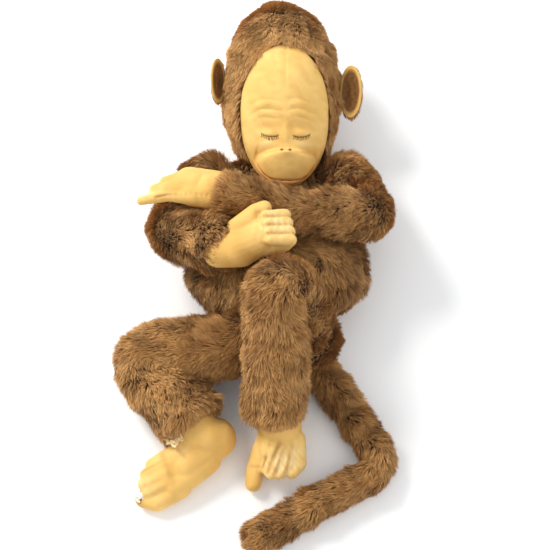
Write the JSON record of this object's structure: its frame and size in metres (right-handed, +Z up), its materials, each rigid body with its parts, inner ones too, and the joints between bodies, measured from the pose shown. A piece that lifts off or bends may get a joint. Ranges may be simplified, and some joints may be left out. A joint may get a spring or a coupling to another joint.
{
  "type": "stuffed monkey",
  "caption": "Limp long-limbed plush monkey asleep on its back with folded arms, rubber face, hands and feet, and a long curled tail.",
  "frame": {"origin": "centre of the flat rest patch on the back, where the toy lies on a floor or shelf", "axes": "+X to the monkey's left, +Y from seat to head, +Z up from the floor through the belly"},
  "size_m": [0.2634, 0.5411, 0.154],
  "materials": {
    "fur": "matte",
    "moulded_skin": "matte",
    "stuffing": "matte",
    "thread": "matte"
  },
  "bodies": {
    "body": {"body_fur": "fur", "body_stuffing": "stuffing"},
    "head": {"head_fur": "fur", "head_stuffing": "stuffing", "face_mask": "moulded_skin", "left_ear": "fur", "left_ear_lining": "moulded_skin", "right_ear": "fur", "right_ear_lining": "moulded_skin"},
    "left_upper_arm": {"left_upper_arm_fur": "fur", "left_upper_arm_stuffing": "stuffing"},
    "left_forearm": {"left_forearm_fur": "fur", "left_forearm_stuffing": "stuffing", "left_wrist_seam": "thread"},
    "left_hand": {"left_hand": "moulded_skin", "left_hand_stuffing": "stuffing"},
    "right_upper_arm": {"right_upper_arm_fur": "fur", "right_upper_arm_stuffing": "stuffing"},
    "right_forearm": {"right_forearm_fur": "fur", "right_forearm_stuffing": "stuffing", "right_wrist_seam": "thread"},
    "right_hand": {"right_hand": "moulded_skin", "right_hand_stuffing": "stuffing"},
    "left_thigh": {"left_thigh_fur": "fur", "left_thigh_stuffing": "stuffing"},
    "left_shin": {"left_shin_fur": "fur", "left_shin_stuffing": "stuffing", "left_ankle_seam": "thread"},
    "left_foot": {"left_foot": "moulded_skin", "left_foot_stuffing": "stuffing"},
    "right_thigh": {"right_thigh_fur": "fur", "right_thigh_stuffing": "stuffing"},
    "right_shin": {"right_shin_fur": "fur", "right_shin_stuffing": "stuffing", "right_ankle_seam": "thread"},
    "right_foot": {"right_foot": "moulded_skin", "right_foot_stuffing": "stuffing"},
    "tail_root": {"tail_root_fur": "fur", "tail_root_stuffing": "stuffing"},
    "tail_mid": {"tail_mid_fur": "fur", "tail_mid_stuffing": "stuffing"},
    "tail_tip": {"tail_tip_fur": "fur", "tail_tip_stuffing": "stuffing"}
  },
  "joints": [
    {"name": "neck_turn", "type": "hinge", "parent": "body", "child": "head", "pos_m": [0.005, 0.16369, 0.05991], "axis": [0, 0.9397, 0.342], "range_deg": [-15, 20]},
    {"name": "left_shoulder_lift", "type": "hinge", "parent": "body", "child": "left_upper_arm", "pos_m": [0.0711, 0.062, 0.02855], "axis": [0, 0.908, -0.4191], "range_deg": [0, 40]},
    {"name": "left_elbow_lift", "type": "hinge", "parent": "left_upper_arm", "child": "left_forearm", "pos_m": [0.08958, 0.01122, 0.08754], "axis": [0, 0.908, -0.4191], "range_deg": [0, 50]},
    {"name": "left_wrist_bend", "type": "hinge", "parent": "left_forearm", "child": "left_hand", "pos_m": [-0.05577, 0.02138, 0.11353], "axis": [0, 1, 0], "range_deg": [0, 25]},
    {"name": "right_shoulder_lift", "type": "hinge", "parent": "body", "child": "right_upper_arm", "pos_m": [-0.0711, 0.062, 0.02855], "axis": [0, -0.908, -0.4191], "range_deg": [0, 40]},
    {"name": "right_elbow_lift", "type": "hinge", "parent": "right_upper_arm", "child": "right_forearm", "pos_m": [-0.09913, 0.00189, 0.07329], "axis": [0, -0.908, -0.4191], "range_deg": [0, 45]},
    {"name": "right_wrist_bend", "type": "hinge", "parent": "right_forearm", "child": "right_hand", "pos_m": [-0.0443, -0.03371, 0.11206], "axis": [0, -1, 0], "range_deg": [0, 25]},
    {"name": "left_hip_spread", "type": "hinge", "parent": "body", "child": "left_thigh", "pos_m": [0.03, -0.102, 0.05], "axis": [0, 0.9798, 0.2], "range_deg": [0, 25]},
    {"name": "left_knee_bend", "type": "hinge", "parent": "left_thigh", "child": "left_shin", "pos_m": [0.00547, -0.07476, 0.13], "axis": [-1, 0, 0], "range_deg": [0, 40]},
    {"name": "left_ankle_turn", "type": "hinge", "parent": "left_shin", "child": "left_foot", "pos_m": [0.00185, -0.17831, 0.03], "axis": [0.0251, 0.7191, 0.6944], "range_deg": [-10, 15]},
    {"name": "right_hip_lift", "type": "hinge", "parent": "body", "child": "right_thigh", "pos_m": [-0.03, -0.102, 0.05], "axis": [0, 1, 0], "range_deg": [0, 30]},
    {"name": "right_knee_bend", "type": "hinge", "parent": "right_thigh", "child": "right_shin", "pos_m": [-0.12682, -0.11218, 0.032], "axis": [0, 0, -1], "range_deg": [0, 40]},
    {"name": "right_ankle_turn", "type": "hinge", "parent": "right_shin", "child": "right_foot", "pos_m": [-0.07021, -0.18463, 0.029], "axis": [-0.6153, 0.7876, 0.0326], "range_deg": [0, 20]},
    {"name": "tail_base_swing", "type": "hinge", "parent": "body", "child": "tail_root", "pos_m": [0.024, -0.085, 0.0119], "axis": [0, 0, 1], "range_deg": [0, 15]},
    {"name": "tail_middle_swing", "type": "hinge", "parent": "tail_root", "child": "tail_mid", "pos_m": [0.05686, -0.13758, 0.0119], "axis": [0, 0, 1], "range_deg": [0, 25]},
    {"name": "tail_tip_curl", "type": "hinge", "parent": "tail_mid", "child": "tail_tip", "pos_m": [0.10115, -0.2113, 0.0119], "axis": [0, 0, 1], "range_deg": [0, 40]}
  ]
}
